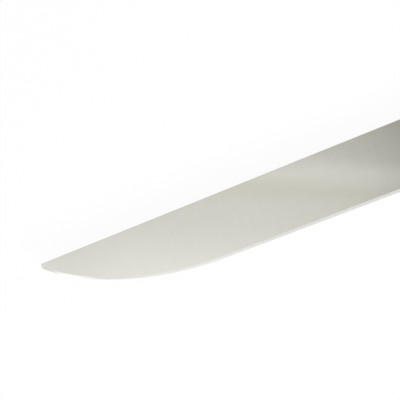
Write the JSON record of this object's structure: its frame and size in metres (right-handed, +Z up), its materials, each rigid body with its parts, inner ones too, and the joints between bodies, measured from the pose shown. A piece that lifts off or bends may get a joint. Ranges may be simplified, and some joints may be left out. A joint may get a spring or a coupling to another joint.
{
  "type": "butcher knife",
  "caption": "Long butcher knife with a straight spine, a curved belly, a flat-ground blade and two hardwood scales riveted to a full tang.",
  "frame": {"origin": "under the middle of the knife's bounding box, on the surface that its right cheek lies on", "axes": "+X from the tip to the butt, +Y towards the spine, +Z up, towards the left side of the blade"},
  "size_m": [0.3862, 0.0422, 0.0203],
  "materials": {
    "blade_steel": "warm grey stainless steel, ground and satin polished",
    "scale_wood": "oiled dark reddish-brown hardwood",
    "rivet_brass": "sanded flush with the scales"
  },
  "bodies": {
    "root": {"blade": "blade_steel", "left_scale": "scale_wood", "right_scale": "scale_wood", "front_rivet_socket": "rivet_brass", "front_rivet_pin": "rivet_brass", "middle_rivet_socket": "rivet_brass", "middle_rivet_pin": "rivet_brass", "rear_rivet_socket": "rivet_brass", "rear_rivet_pin": "rivet_brass"}
  },
  "joints": []
}
